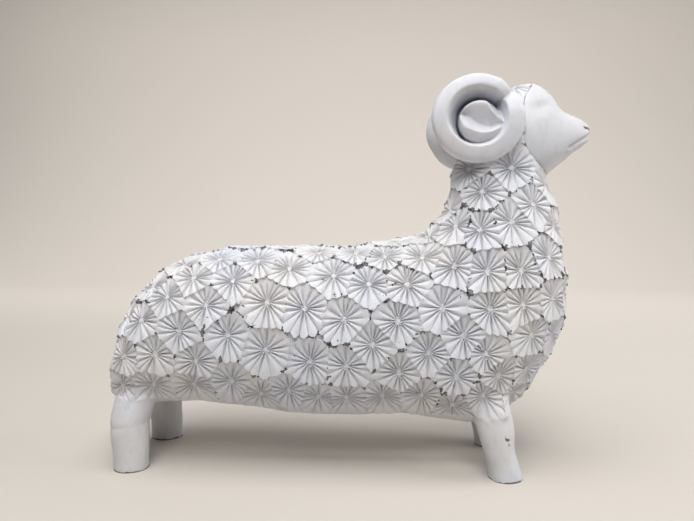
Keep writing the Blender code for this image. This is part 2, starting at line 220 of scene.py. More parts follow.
# The horn ring's section: outwards from the coil's centre line, and away from the head.
HORN_SECTION = [
    (6.4, -1.5), (6.5, 2.5), (5.7, 5.4), (3.8, 7.0), (0.5, 8.1), (-2.9, 8.8), (-4.0, 8.6), (-4.9, 7.2),
    (-6.2, 4.8), (-9, 0.4), (-12, -5), (-12, -15), (0, -15), (5, -7),
]
HORN_LIP_OUT = -4.5

# Along the ring, by degrees from the front over the top: size of the section, shift away from the
# head, how far its outer edge stands beyond the ring's radius, and how wide its inner wall is.
HORN_ALONG = [
    (20, 0.66, -15, -1.0, 1.0),
    (30, 0.70, -9.5, -1.4, 1.0),
    (38, 0.74, -4.5, -1.8, 1.0),
    (46, 0.78, -0.8, -1.8, 1.0),
    (60, 0.83, 0.8, -0.8, 1.0),
    (90, 0.88, 0.4, 0.0, 1.0),
    (180, 1.0, 0.0, 0.0, 1.0),
    (225, 1.05, -0.2, 0.0, 0.5),
    (270, 1.08, -0.4, 0.0, 0.4),
    (340, 1.2, -1.0, 0.4, 0.6),
    (370, 1.2, -1.6, 0.4, 0.7),
    (390, 1.08, -3.0, 0.0, 0.8),
    (405, 0.85, -7.0, -2.0, 0.8),
]

# Where painted shade lies deep within the coil: its radius and soft edge, how far from the ram's
# middle plane it starts and over what depth it grows, and where it ends at the head.
COIL_SHADE_RADIUS = 24.0
COIL_SHADE_EDGE = 4.0
COIL_SHADE_FROM = 36.5
COIL_SHADE_DEPTH = 15.0
COIL_SHADE_ENDS = (12.0, 16.0)

# The hollow of the curled tip, across its face: x, its upper lip, its bed and its lower lip.
TIP_HOLLOW = [
    (-15.3, 4.2, 3.8, 3.2),
    (-12.6, 8.0, 5.8, -4.0),
    (-8.0, 11.6, 4.0, -6.4),
    (-2.4, 13.8, -0.8, -8.2),
    (3.2, 12.6, -3.2, -8.8),
    (7.2, 6.4, -3.8, -7.6),
    (10.0, 3.0, -3.4, -6.6),
    (15.3, -0.8, -1.8, -4.2),
]
TIP_HOLLOW_DEPTH = 6.5
TIP_HOLLOW_FULL = 14.0
TIP_WALL_DROP = 4.0
TIP_LIP_FALL = 0.75

# The edge of the smooth head, as x over z.
HAIRLINE = [
    (200, 400), (219, 312), (228, 298.6), (236, 292.3), (243, 289.5),
    (250, 290), (270, 290.2), (276, 291.5), (289, 299.5),
]
HEAD_FROM_X = 279.5

# Rosettes are laid out above this height over x, where the skin doesn't face down more than this.
COAT_EDGE = [(-20, 52), (20, 52), (40, 44), (230, 42), (256, 47), (290, 52)]
COAT_UNDERSIDE = -0.78

# Where the smooth belly ends, as z over x, and how far above it the coat has its full height.
BELLY_LINE = [
    (-30, 53), (12, 52), (24, 50), (60, 49), (110, 43), (150, 41), (200, 42), (250, 42), (275, 43),
    (290, 49), (310, 50),
]
BELLY_FADE = 3.0

# The seam behind the smooth head, and the width of its crack over z.
SEAM_FROM_Z = 215.0
SEAM_DEPTH = 0.7
SEAM_WIDTH = 0.7
CRACK_FROM_Z = 212.0
NO_CRACK = 99.0
SEAM_CRACK = [(200, 0.2), (240, 0.22), (246, 0.9), (253, 1.1), (257, 0.25), (275, 0.25), (284, 0.5)]

# Unevenness of the smooth parts, and the crease round each rear leg.
WAVES = 9
WAVE_LENGTHS = (14.0, 40.0)
WAVE_HEIGHT = 0.13
WAVE_SEED = 3
LEG_CREASE_TO_X = 40.0
LEG_CREASE_Z = 33.0
LEG_CREASE_SLOPE = 0.12
LEG_CREASE_WIDTH = 1.4
LEG_CREASE_DEPTH = 0.45

# Marks of the face, the same on each side. The eye is a long hollow under a low brow. The nostril
# and the lump beside the chin have x, y, z, radius and depth, and the nostril's slit and the mouth
# are lines in the side view, with a raised lip below the mouth.
EYE_X = 304.5
EYE_Z = 268.6
EYE_SIDE = (8.0, 15.0)
EYE_SLOPE = 0.17
EYE_LENGTH = 7.5
EYE_ABOVE = 3.4
EYE_BELOW = 5.2
EYE_DEPTH = 1.25
BROW_HEIGHT = 0.5
NOSTRIL = (338.2, 8.6, 254.4, 2.0, 1.5)
# The nostril's slit is painted dark, as painted shade.
NOSTRIL_SLIT = [(336.4, 254.7), (341.0, 253.7)]
NOSTRIL_WIDTH = 1.3
NOSTRIL_REACH = 4.0
CHIN_LUMP = (313.6, 18.0, 235.8, 2.6, -0.8)
MOUTH = [(343, 249.4), (338, 247.4), (331, 243.2), (324.5, 239.0)]
MOUTH_WIDTH = 0.9
MOUTH_DEPTH = 1.5
MOUTH_REACH = 10.0
LIP_HEIGHT = 1.0
LIP_BELOW = 2.6
LIP_SHARPNESS = 1.6

# Small chips on the legs: x, y, z and radius, and how far each reaches in radii.
SMALL_CHIP_REACH = 1.8
SMALL_CHIPS = [
    (274.0, -47.2, 32.8, 1.2), (275.4, -46.5, 31.2, 1.1), (276.9, -45.7, 29.6, 1.2),
    (16.0, -44.0, 2.5, 2.4), (287.5, -42.0, 8.0, 1.6), (13.5, 33.0, 12.0, 2.0), (4.0, -51.0, 6.0, 1.0),
]


# Forms.


def through(points, steps):
    """Rows on a smooth curve (Catmull-Rom) through the given rows."""
    rows = np.array(points, float)
    ends = np.vstack([2 * rows[0] - rows[1], rows, 2 * rows[-1] - rows[-2]])
    out = []
    for i in range(1, len(ends) - 2):
        a, b, c, d = ends[i - 1 : i + 3]
        for t in np.arange(steps) / steps:
            cubic = 2 * a - 5 * b + 4 * c - d
            out.append(0.5 * (2 * b + (c - a) * t + cubic * t**2 + (3 * b - a - 3 * c + d) * t**3))
    return np.array(out + [rows[-1]])


def power(values, exponent):
    return np.sign(values) * np.abs(values) ** exponent


def rib_rings(ribs, squareness, sag=0.0):
    """Points of every ring over the ribs, shaped (rings, points, 3); sag lowers the widest place."""
    rows = through(ribs, RIB_STEPS)
    angle = 2 * math.pi * np.arange(RIB_POINTS) / RIB_POINTS
    up = power(np.cos(angle), 2 / squareness)[None, :]
    side = power(np.sin(angle), 2 / squareness)[None, :]
    middle_x, middle_z = (rows[:, 0] + rows[:, 2]) / 2, (rows[:, 1] + rows[:, 3]) / 2
    half_x, half_z = (rows[:, 0] - rows[:, 2]) / 2, (rows[:, 1] - rows[:, 3]) / 2
    x = middle_x[:, None] + half_x[:, None] * up
    z = middle_z[:, None] + half_z[:, None] * (up - sag * side**2)
    y = np.maximum(rows[:, 4], 0.5)[:, None] * side
    return np.stack([x, y, z], axis=2)


def skin(name, rings):
    """A closed skin over rings of points, with a point at each end."""
    around = len(rings[0])
    mesh = bmesh.new()
    loops = [[mesh.verts.new(p) for p in ring] for ring in rings[1:-1]]
    for lower, upper in zip(loops, loops[1:]):
        for j in range(around):
            k = (j + 1) % around
            mesh.faces.new((lower[j], lower[k], upper[k], upper[j]))
    for loop, end in ((loops[0], rings[0]), (loops[-1], rings[-1])):
        tip = mesh.verts.new(end.mean(axis=0))
        for j in range(around):
            mesh.faces.new((loop[j], loop[(j + 1) % around], tip))
    bmesh.ops.recalc_face_normals(mesh, faces=mesh.faces)
    return object_of(name, mesh)


def object_of(name, mesh):
    data = bpy.data.meshes.new(name)
    mesh.to_mesh(data)
    mesh.free()
    obj = bpy.data.objects.new(name, data)
    bpy.context.scene.collection.objects.link(obj)
    return obj


def baked(obj, name):
    """The object as its modifiers leave it, as a plain mesh object in its place."""
    bpy.context.view_layer.update()
    graph = bpy.context.evaluated_depsgraph_get()
    data = bpy.data.meshes.new_from_object(obj.evaluated_get(graph))
    bpy.data.objects.remove(obj)
    made = bpy.data.objects.new(name, data)
    bpy.context.scene.collection.objects.link(made)
    return made


def leg(side, line, radius):
    """A round leg along its centre line."""
    rows = through(line, RIB_STEPS)
    angle = 2 * math.pi * np.arange(LEG_POINTS) / LEG_POINTS
    rings = []
    for x, z, inward, share in rows:
        y = side * (LEG_SPACING_Y / 2 - inward)
        ring = [(x + radius * share * math.cos(a), y + radius * share * math.sin(a), z) for a in angle]
        rings.append(np.array(ring))
    return skin("leg", [rings[0]] + rings + [rings[-1]])


def horn_ring(side):
    """The horn's ring: its section carried round from the temple over the top and back again."""
    section = through(HORN_SECTION + HORN_SECTION[:1], 4)[:-1]
    angle = np.radians(HORN_STARTS_AT + HORN_SWEEP * np.linspace(0, 1, RIB_POINTS))
    table = np.array(HORN_ALONG)
    degrees = np.degrees(angle)
    size, away, edge, wall = (np.interp(degrees, table[:, 0], table[:, k]) for k in (1, 2, 3, 4))
    reach = HORN_RADIUS + edge - HORN_SECTION[0][0] * size
    rings = []
    for a, s, r, w, share in zip(angle, size, reach, away, wall):
        inside = np.minimum(section[:, 0] - HORN_LIP_OUT, 0)
        out = r + (section[:, 0] - (1 - share) * inside) * s
        x = HORN_CENTRE_X + out * math.cos(a)
        z = HORN_CENTRE_Z + out * math.sin(a) * HORN_SQUASH
        y = side * (HORN_SPACING_Y / 2 + w + section[:, 1] * s)
        rings.append(np.stack([x, y, z], axis=1))
    return skin("horn", [rings[0]] + rings + [rings[-1]])


def ball(name, centre_point, radii, flatness=2.0):
    """A closed rounded form; a flatness over 2 squares it off across the face."""
    mesh = bmesh.new()
    bmesh.ops.create_uvsphere(mesh, u_segments=96, v_segments=64, radius=1.0)
    for vert in mesh.verts:
        round_share = math.hypot(vert.co.x, vert.co.z)
        flat = (abs(vert.co.y) ** flatness + round_share**flatness) ** (-1 / flatness)
        vert.co = [c + r * v * flat for c, r, v in zip(centre_point, radii, vert.co)]
    return object_of(name, mesh)


def tip_drop(x, z):
    """How far the curled tip's face lies below its rim: a hollow, and the wall under its lower lip."""
    table = np.array(TIP_HOLLOW)
    upper, bed, lower = (np.interp(x, table[:, 0], table[:, k]) for k in (1, 2, 3))
    if z < lower:
        return TIP_WALL_DROP * (lower - z) / (lower + HORN_TIP_RADIUS)
    if z > upper:
        return TIP_LIP_FALL * (z - upper)
    if z > bed:
        share = (upper - z) / max(upper - bed, 0.1)
    else:
        share = (z - lower) / max(bed - lower, 0.1)
    return TIP_HOLLOW_DEPTH * min(1.0, (upper - lower) / TIP_HOLLOW_FULL) * min(max(share, 0.0), 1.0)


def horn_tip(side):
    """The curled tip: a thick button with a hollow that narrows to the front."""
    y = side * (HORN_SPACING_Y / 2 - HORN_TIP_IN)
    radii = (HORN_TIP_RADIUS, HORN_TIP_THICKNESS, HORN_TIP_RADIUS)
    tip = ball("tip", (HORN_TIP_X, y, HORN_TIP_Z), radii, HORN_TIP_FLATNESS)
    for vert in tip.data.vertices:
        outward = side * (vert.co.y - y) / HORN_TIP_THICKNESS
        if outward > 0:
            drop = tip_drop(vert.co.x - HORN_TIP_X, vert.co.z - HORN_TIP_Z)
            vert.co.y -= side * drop * min(1.0, outward * HORN_TIP_EDGE)
    return tip


def horn_root(side):
    """What joins the ring and the tip to the head."""
    y = side * (HORN_SPACING_Y / 2 - HORN_ROOT_IN)
    place = (HORN_CENTRE_X + HORN_ROOT_AHEAD, y, HORN_CENTRE_Z)
    return ball("root", place, HORN_ROOT_RADII, HORN_ROOT_FLATNESS)


def joined(name, objects):
    mesh = bmesh.new()
    for obj in objects:
        mesh.from_mesh(obj.data)
        bpy.data.objects.remove(obj)
    return object_of(name, mesh)


def fused(obj, voxel, smoothing):
    """One closed skin round everything in the object, with its creases softened."""
    remesh = obj.modifiers.new("fuse", "REMESH")
    remesh.mode = "VOXEL"
    remesh.voxel_size = voxel
    soften = obj.modifiers.new("soften", "SMOOTH")
    soften.factor = 0.5
    soften.iterations = smoothing
    return baked(obj, obj.name)


def arrays_of(obj):
    """The mesh's points and vertex normals."""
    data = obj.data
    points = np.empty(len(data.vertices) * 3, np.float32)
    normals = np.empty(len(data.vertices) * 3, np.float32)
    data.vertices.foreach_get("co", points)
    data.vertex_normals.foreach_get("vector", normals)
    return points.reshape(-1, 3).astype(float), normals.reshape(-1, 3).astype(float)


def set_points(obj, points):
    obj.data.vertices.foreach_set("co", points.astype(np.float32).ravel())
    obj.data.update()


def plain_body():
    """Body, neck, head and legs in one skin."""
    parts = [
        skin("body", rib_rings(BODY_RIBS, BODY_SQUARENESS)),
        skin("head", rib_rings(HEAD_RIBS, HEAD_SQUARENESS, HEAD_SAG)),
    ]
    for side in (-1, 1):
        parts.append(leg(side, REAR_LEG, REAR_LEG_RADIUS))
        parts.append(leg(side, FRONT_LEG, FRONT_LEG_RADIUS))
    return fused(joined("ram", parts), BLEND_VOXEL, BLEND_STEPS)


def with_horns(body):
    """The body with a horn on each side, in one finer skin."""
    parts = [body]
    for side in (-1, 1):
        parts += [horn_ring(side), horn_tip(side), horn_root(side)]
    return fused(joined("ram", parts), VOXEL, HORN_BLEND_STEPS)


# Rosettes.


def smooth_step(low, high, value):
    """0 below low and 1 above high, with a soft rise between them."""
    t = np.clip((value - low) / (high - low), 0, 1)
    return t * t * (3 - 2 * t)


def behind_hairline(points):
    """How far behind the edge of the smooth head each point lies."""
    table = np.array(HAIRLINE)
    return np.interp(points[:, 2], table[:, 0], table[:, 1]) - points[:, 0]


def distances(points, centres):
    """The distance of each point from each centre, shaped (points, centres)."""
    square = (points**2).sum(1)[:, None] + (centres**2).sum(1)[None, :] - 2 * points @ centres.T
    return np.sqrt(np.maximum(square, 0))


def rosette_centres(body):
    """Places spread evenly over the coat, by moving each to the middle of its share of it."""
    points, normals = arrays_of(body)
    edge = np.interp(points[:, 0], *np.array(COAT_EDGE).T)
    coat = (points[:, 2] > edge) & (normals[:, 2] > COAT_UNDERSIDE) & (behind_hairline(points) > 0)
    area = sum(polygon.area for polygon in body.data.polygons) * coat.mean()
    count = round(area / (HONEYCOMB_CELL * ROSETTE_SPACING**2))
    points = points[coat]
    chance = np.random.default_rng(LAYOUT_SEED)
    points = points[chance.choice(len(points), LAYOUT_POINTS, replace=False)]
    centres = points[chance.choice(len(points), count, replace=False)]
    for _ in range(SPREADING_STEPS):
        nearest = distances(points, centres).argmin(axis=1)
        share = np.maximum(np.bincount(nearest, minlength=count), 1)
        sums = [np.bincount(nearest, points[:, k], count) for k in range(3)]
        centres = np.stack(sums, axis=1) / share[:, None]
    return centres


def surface_of(obj):
    """The object's faces in a form that finds the nearest point quickly."""
    polygons = [p.vertices for p in obj.data.polygons]
    return BVHTree.FromPolygons([v.co for v in obj.data.vertices], polygons)


def rosette_frames(surface, centres):
    """Each rosette's place on the skin, its downhill and sideways directions, and its own chances."""
    hits = [surface.find_nearest(Vector(centre)) for centre in centres]
    places, normals = np.array([h[0] for h in hits]), np.array([h[1] for h in hits])
    fall = np.tile((0.0, 0.0, -1.0), (len(places), 1))
    fall[:, 1] = OUTWARD_FALL * np.sign(places[:, 1])
    downhill = fall - (fall * normals).sum(1)[:, None] * normals
    downhill /= np.linalg.norm(downhill, axis=1)[:, None]
    chance = np.random.default_rng(LAYOUT_SEED + 1)
    count = len(places)
    least, most = 1 - ROSETTE_SIZE_SPREAD, 1 + ROSETTE_SIZE_SPREAD
    return {
        "place": places,
        "downhill": downhill,
        "sideways": np.cross(normals, downhill),
        "phase": chance.uniform(0, 1, count),
        "lift": chance.uniform(-ROSETTE_LIFT, ROSETTE_LIFT, count),
        "petals": chance.integers(PETALS_LEAST, PETALS_MOST + 1, count),
        "radius": ROSETTE_RADIUS * chance.uniform(least, most, count),
        "sway": chance.uniform(0, 2 * math.pi, count),
    }


def arms(frames, points, i):
    """For each point and its rosette i: how far it lies sideways and downhill of the centre."""
    arm = points - frames["place"][i]
    return (arm * frames["sideways"][i]).sum(1), (arm * frames["downhill"][i]).sum(1)


def pleat_turn(frames, angle, i):
    """The angle counted in petals: whole numbers are valleys, and petals are a little uneven."""
    sway = frames["sway"][i]
    uneven = PLEAT_UNEVEN * (np.sin(2 * angle + sway) + np.sin(3 * angle - sway))
    return angle / (2 * math.pi) * frames["petals"][i] + frames["phase"][i] + uneven


def dish(frames, points, i):
    """For each point and its rosette i: share of the way out, downhill share, and pleat's valley."""
    across, along = arms(frames, points, i)
    r = np.maximum(np.hypot(across, along), 1e-3)
    down = along / r
    turn = pleat_turn(frames, np.arctan2(along, across), i)
    off = np.abs(turn - np.round(turn)) * 2
    tooth = TOOTH * (off - 0.5) * smooth_step(*TOOTH_FADE, down)
    reach = frames["radius"][i] * (1 + ROSETTE_FALL * down) * (1 + tooth)
    wave = PLEAT_VARIES_TURN * np.round(turn) + PLEAT_VARIES_SWAY * frames["sway"][i]
    varies = 1 + PLEAT_VARIES * np.sin(wave)
    return r / reach, down, varies * (1 - off) ** PLEAT_POINTED


def in_parts(points):
    """The points in parts small enough to work on at a time."""
    return np.array_split(points, len(points) // POINTS_AT_A_TIME + 1)


def near_rosettes(points, frames, count=4):
    """Each point's distances from all rosettes, and the numbers of the nearest ones."""
    apart = distances(points, frames["place"])
    return apart, np.argpartition(apart, count, axis=1)[:, :count]


def rosette_field(points, frames):
    """The coat at each point: its height over the skin and how it sits between the rosettes."""
    apart, closest = near_rosettes(points, frames)
    columns = [dish(frames, points, closest[:, k]) for k in range(closest.shape[1])]
    q, down, valley = (np.stack(rows, axis=1) for rows in zip(*columns))
    order = np.argsort(q, axis=1)
    rows = np.arange(len(points))
    first, second, third = (order[:, k] for k in range(3))
    q1, q2, q3 = q[rows, first], q[rows, second], q[rows, third]
    down1, down2 = down[rows, first], down[rows, second]
    at_rim = smooth_step(*RIM_FADE, q1) * (1 - LOW_SIDE_KEEPS * smooth_step(*LOW_SIDE_FADE, down1))
    spindle = smooth_step(*MIDDLE_FADE, q1) * (1 - RIM_FLATTENS * at_rim)
    valley = spindle * valley[rows, first]
    lift = frames["lift"][closest[rows, first]]
    height = DISH_DEPTH * (q1 - DISH_LEVEL) + DISH_TILT * down1 * q1 + lift
    height -= PLEAT_DEPTH * valley
    gap = q1 > 1.0
    height[gap] = -GAP_DEPTH
    return {
        "height": height,
        "under": smooth_step(*UNDER_FADE, down2) * (1 - smooth_step(*UNDER_WIDTH, q2 - q1)),
        "rim": 1 - smooth_step(*RIM_WIDTH, q2 - q1),
        "corner": 1 - smooth_step(*CORNER_WIDTH, q3 - q1),
        "coat": np.ones(len(points)),
        "plain": gap & (apart.min(axis=1) > ROSETTE_RADIUS * COAT_REACH),
    }


def own_rosette(points, frames):
    """The number of the rosette that each point belongs to."""
    found = []
    for part in in_parts(points):
        _, closest = near_rosettes(part, frames)
        q = np.stack([dish(frames, part, closest[:, k])[0] for k in range(closest.shape[1])], axis=1)
        found.append(closest[np.arange(len(part)), q.argmin(axis=1)])
    return np.concatenate(found)


def on_creases(points, frames):
    """The points moved a little sideways, so that those beside a pleat's valley or ridge lie on it."""
    i = own_rosette(points, frames)
    across, along = arms(frames, points, i)
    r = np.hypot(across, along)
    angle = np.arctan2(along, across)
    turn = pleat_turn(frames, angle, i)
    step = 1e-3
    rate = (pleat_turn(frames, angle + step, i) - turn) / step
    move = (np.round(2 * turn) / 2 - turn) / rate
    outside = (r < CREASE_STARTS) | (r > ROSETTE_RADIUS * COAT_REACH)
    move[(np.abs(move * r) > CREASE_REACH) | outside] = 0.0
    sideways = r * np.cos(angle + move) - across
    downhill = r * np.sin(angle + move) - along
    return points + sideways[:, None] * frames["sideways"][i] + downhill[:, None] * frames["downhill"][i]


def coat_field(points, frames, surface):
    """rosette_field in parts, with the smooth head, horns, legs and belly left out of it."""
    parts = [rosette_field(part, frames) for part in in_parts(points)]
    field = {name: np.concatenate([part[name] for part in parts]) for name in parts[0]}
    bare = field["plain"] | (behind_hairline(points) < 0) | on_horn(points, surface)
    above = points[:, 2] - np.interp(points[:, 0], *np.array(BELLY_LINE).T)
    share = np.where(bare, 0.0, smooth_step(0, BELLY_FADE, above))
    return {name: field[name] * share for name in field}


def line_distance(points, line):
    """Distance in the side view from a curve through the given (x, z) places."""
    rows = through(line, 8)
    flat = points[:, [0, 2]]
    nearest = np.full(len(points), np.inf)
    for start, end in zip(rows, rows[1:]):
        run = end - start
        share = np.clip((flat - start) @ run / (run @ run), 0, 1)
        nearest = np.minimum(nearest, np.linalg.norm(flat - start - share[:, None] * run, axis=1))
    return nearest


def face_relief(points):
    """Height of the seam along the hairline and of the eye, nostril, chin and mouth."""
    x, y, z = points[:, 0], np.abs(points[:, 1]), points[:, 2]
    off = behind_hairline(points) / SEAM_WIDTH
    height = np.where(z > SEAM_FROM_Z, -SEAM_DEPTH * np.exp(-(off**2)), 0.0)
    for at_x, at_y, at_z, radius, depth in (NOSTRIL, CHIN_LUMP):
        square = (x - at_x) ** 2 + (y - at_y) ** 2 + (z - at_z) ** 2
        height -= depth * np.exp(-square / radius**2)
    along = np.exp(-(((x - EYE_X) / EYE_LENGTH) ** 2)) * smooth_step(*EYE_SIDE, y)
    above = z - EYE_Z - EYE_SLOPE * (x - EYE_X)
    hollow = np.exp(-((above / np.where(above > 0, EYE_ABOVE, EYE_BELOW)) ** 2))
    brow = np.exp(-(((above - 2 * EYE_ABOVE) / EYE_ABOVE) ** 2))
    height += along * (BROW_HEIGHT * brow - EYE_DEPTH * hollow)
    near = x > MOUTH[-1][0] - MOUTH_REACH
    from_mouth = line_distance(points[near], MOUTH) / MOUTH_WIDTH
    from_lip = line_distance(points[near], [(x, z - LIP_BELOW) for x, z in MOUTH])
    height[near] -= MOUTH_DEPTH * np.exp(-(from_mouth**2))
    height[near] += LIP_HEIGHT * np.exp(-((from_lip / LIP_BELOW * LIP_SHARPNESS) ** 2))
    return height


def hand_worked(points):
    """The slight unevenness of a form smoothed by hand: a sum of long low waves."""
    chance = np.random.default_rng(WAVE_SEED)
    height = np.zeros(len(points))
    for _ in range(WAVES):
        direction = chance.normal(size=3)
        direction *= 2 * math.pi / (chance.uniform(*WAVE_LENGTHS) * np.linalg.norm(direction))
        height += WAVE_HEIGHT * np.sin(points @ direction + chance.uniform(0, 2 * math.pi))
    return height


def leg_relief(points):
    """The crease round each rear leg, left where the clay was joined."""
    x, z = points[:, 0], points[:, 2]
    off = (z - LEG_CREASE_Z - LEG_CREASE_SLOPE * x) / LEG_CREASE_WIDTH
    return np.where(x < LEG_CREASE_TO_X, -LEG_CREASE_DEPTH * np.exp(-(off**2)), 0.0)


def from_coil(points):
    """How far each point lies from the middle of the horns' coils, in the side view."""
    return np.hypot(points[:, 0] - HORN_CENTRE_X, points[:, 2] - HORN_CENTRE_Z)


def on_horn(points, surface):
    """Which points belong to the horns: those round the coils that stand off the plain body."""
    found = np.zeros(len(points), bool)
    for i in np.flatnonzero(from_coil(points) < HORN_RADIUS + HORN_MARGIN):
        found[i] = surface.find_nearest(Vector(points[i]))[3] > HORN_STANDS_OFF
    return found


def carve(obj, surface, frames):
    """Raises the rosettes on the coat and leaves the head, horns, legs and belly smooth."""
    points, normals = arrays_of(obj)
    coat = (behind_hairline(points) > 0) & ~on_horn(points, surface)
    points = np.where(coat[:, None], on_creases(points, frames), points)
    field = coat_field(points, frames, surface)
    height = field["height"] + np.where(field["coat"] > 0, 0.0, hand_worked(points))
    head = points[:, 0] > HEAD_FROM_X
    height[head] += face_relief(points[head])
    height += leg_relief(points)
    set_points(obj, points + normals * height[:, None])


def cut_flat(obj, level):
    """Cuts the feet off flat at this height."""
    mesh = bmesh.new()
    mesh.from_mesh(obj.data)
    geometry = mesh.verts[:] + mesh.edges[:] + mesh.faces[:]
    cut = bmesh.ops.bisect_plane(
        mesh, geom=geometry, dist=1e-4, plane_co=(0, 0, level), plane_no=(0, 0, 1), clear_inner=True
    )
    edges = [e for e in cut["geom_cut"] if isinstance(e, bmesh.types.BMEdge)]
    bmesh.ops.holes_fill(mesh, edges=edges, sides=0)
    mesh.to_mesh(obj.data)
    mesh.free()


def coarsened(obj, triangles):
    """The same form in about that many triangles."""
    faces = sum(len(p.vertices) - 2 for p in obj.data.polygons)
    decimate = obj.modifiers.new("coarsen", "DECIMATE")
    decimate.ratio = triangles / faces
    decimate.use_collapse_triangulate = True
    return baked(obj, obj.name)


def marked(obj, name, values):
    """Stores a value on each point for the paint to read."""
    attribute = obj.data.attributes.new(name, "FLOAT", "POINT")
    attribute.data.foreach_set("value", np.asarray(values, np.float32))


def marked_corners(obj, name, columns):
    """Stores three values on each face's corners for the paint to read."""
    attribute = obj.data.attributes.new(name, "FLOAT_VECTOR", "CORNER")
    attribute.data.foreach_set("vector", np.stack(columns, axis=1).astype(np.float32).ravel())


def mark_rosettes(obj, points, frames):
    """Tells the paint where each face's corners lie within the rosette that the face belongs to."""
    polygons = obj.data.polygons
    centres, sizes = np.empty(len(polygons) * 3), np.empty(len(polygons), int)
    polygons.foreach_get("center", centres)
    polygons.foreach_get("loop_total", sizes)
    i = np.repeat(own_rosette(centres.reshape(-1, 3), frames), sizes)
    corners = np.empty(len(obj.data.loops), int)
    obj.data.loops.foreach_get("vertex_index", corners)
    across, along = arms(frames, points[corners], i)
    marked_corners(obj, "arm", (across, along, frames["radius"][i]))
    marked_corners(obj, "chance", (frames["phase"][i], frames["petals"][i], frames["sway"][i]))


def mark_seam(obj, points):
    """How far each point lies from the cracked line behind the smooth head, in crack widths."""
    width = np.interp(points[:, 2], *np.array(SEAM_CRACK).T)
    away = behind_hairline(points) / width
    marked(obj, "seam", np.where(points[:, 2] > CRACK_FROM_Z, away, NO_CRACK))


def mark_small_chips_and_nostril_shade(obj, points):
    """1 in the middle of each small chip and along the nostril's slit, falling to 0 at its edge; the
    slit is painted dark as painted shade.
    """
    mark = np.zeros(len(points))
    for x, y, z, radius in SMALL_CHIPS:
        away = np.linalg.norm(points - (x, y, z), axis=1)
        mark = np.maximum(mark, 1 - away / (radius * SMALL_CHIP_REACH))
    snout = points[:, 0] > NOSTRIL_SLIT[0][0] - NOSTRIL_REACH
    slit = 1 - line_distance(points[snout], NOSTRIL_SLIT) / NOSTRIL_WIDTH
    mark[snout] = np.maximum(mark[snout], slit)
    marked(obj, "small_chip_and_nostril_shade", mark)


def mark_deep(obj, points):
    """How far down within the horn's coil each point lies, 1 at the bottom; the paint puts painted shade
    there.
    """
    y = np.abs(points[:, 1])
    inside = smooth_step(0, COIL_SHADE_EDGE, COIL_SHADE_RADIUS - from_coil(points))
    inside = inside * smooth_step(*COIL_SHADE_ENDS, y)
    marked(obj, "deep", inside * smooth_step(0, COIL_SHADE_DEPTH, COIL_SHADE_FROM - y))


def placed(obj, box):
    """Puts the casting where the solid stands, and turns millimetres into metres."""
    points, _ = arrays_of(obj)
    middle = (points.min(0) + points.max(0)) / 2
    low, high = box
    points[:, 2] = np.where(np.abs(points[:, 2]) < FLOOR_TOLERANCE, 0.0, points[:, 2])
    points = points * MM
    points[:, 0] += (low[0] + high[0]) / 2 - middle[0] * MM
    points[:, 1] += (low[1] + high[1]) / 2 - middle[1] * MM
    set_points(obj, points)


def casting(box):
    """The whole ram as one fine mesh, marked where painted shade and wear lie."""
    body = plain_body()
    surface = surface_of(body)
    frames = rosette_frames(surface, rosette_centres(body))
    ram = with_horns(body)
    carve(ram, surface, frames)
    ram = coarsened(ram, TRIANGLES)
    cut_flat(ram, 0.0)
    points, _ = arrays_of(ram)
    field = coat_field(points, frames, surface)
    for name in ("under", "rim", "corner", "coat"):
        marked(ram, name, field[name])
    mark_rosettes(ram, points, frames)
    mark_seam(ram, points)
    mark_small_chips_and_nostril_shade(ram, points)
    mark_deep(ram, points)
    placed(ram, box)
    ram.data.shade_smooth()
    ram.data.set_sharp_from_angle(angle=math.radians(SHARP_ANGLE))
    ram.name = "ram_casting"
    return ram


# Paint.


class Nodes:
    """Short calls for a material's node tree."""

    def __init__(self, name):
        self.material = bpy.data.materials.new(name)
        self.material.use_nodes = True
        self.tree = self.material.node_tree
        self.shader = self.tree.nodes["Principled BSDF"]

    def add(self, kind, **inputs):
        node = self.tree.nodes.new(kind)
        for name, value in inputs.items():
            self.put(node, name.replace("_", " "), value)
        return node

    def connect(self, socket, value):
        """Links another node's output to the socket, or sets a plain value on it."""
        if isinstance(value, bpy.types.NodeSocket):
            self.tree.links.new(value, socket)
        else:
            socket.default_value = value

    def put(self, node, name, value):
        self.connect(node.inputs[name], value)

    def mark(self, name, output="Fac"):
        node = self.tree.nodes.new("ShaderNodeAttribute")
        node.attribute_name = name
        return node.outputs[output]

    def parts(self, vector):
        return self.add("ShaderNodeSeparateXYZ", Vector=vector).outputs

    def place(self):
        return self.tree.nodes.new("ShaderNodeTexCoord").outputs["Object"]

    def stretched(self, vector, scale):
        return self.add("ShaderNodeMapping", Vector=vector, Scale=scale).outputs["Vector"]

    def noise(self, scale, detail=2.0, roughness=0.5, where=None):
        vector = where or self.place()
        node = self.add("ShaderNodeTexNoise", Vector=vector, Scale=scale, Detail=detail)
        self.put(node, "Roughness", roughness)
        return node.outputs["Fac"]

    def math(self, operation, *values, clamp=False):
        node = self.tree.nodes.new("ShaderNodeMath")
        node.operation = operation
        node.use_clamp = clamp
        for socket, value in zip(node.inputs, values):
            self.connect(socket, value)
        return node.outputs[0]

    def plus(self, first, *others):
        for value in others:
            first = self.math("ADD", first, value)
        return first

    def times(self, first, *others):
        for value in others:
            first = self.math("MULTIPLY", first, value)
        return first

    def ramp(self, value, low, high, start=0.0, end=1.0):
        node = self.tree.nodes.new("ShaderNodeMapRange")
        node.interpolation_type = "SMOOTHSTEP"
        for name, given in (("Value", value), ("From Min", low), ("From Max", high)):
            self.put(node, name, given)
        self.put(node, "To Min", start)
        self.put(node, "To Max", end)
        return node.outputs["Result"]

    def mix(self, share, first, second):
        node = self.tree.nodes.new("ShaderNodeMix")
        node.data_type = "RGBA"
        for k, value in ((0, share), (6, first), (7, second)):
            self.connect(node.inputs[k], value)
        return node.outputs[2]


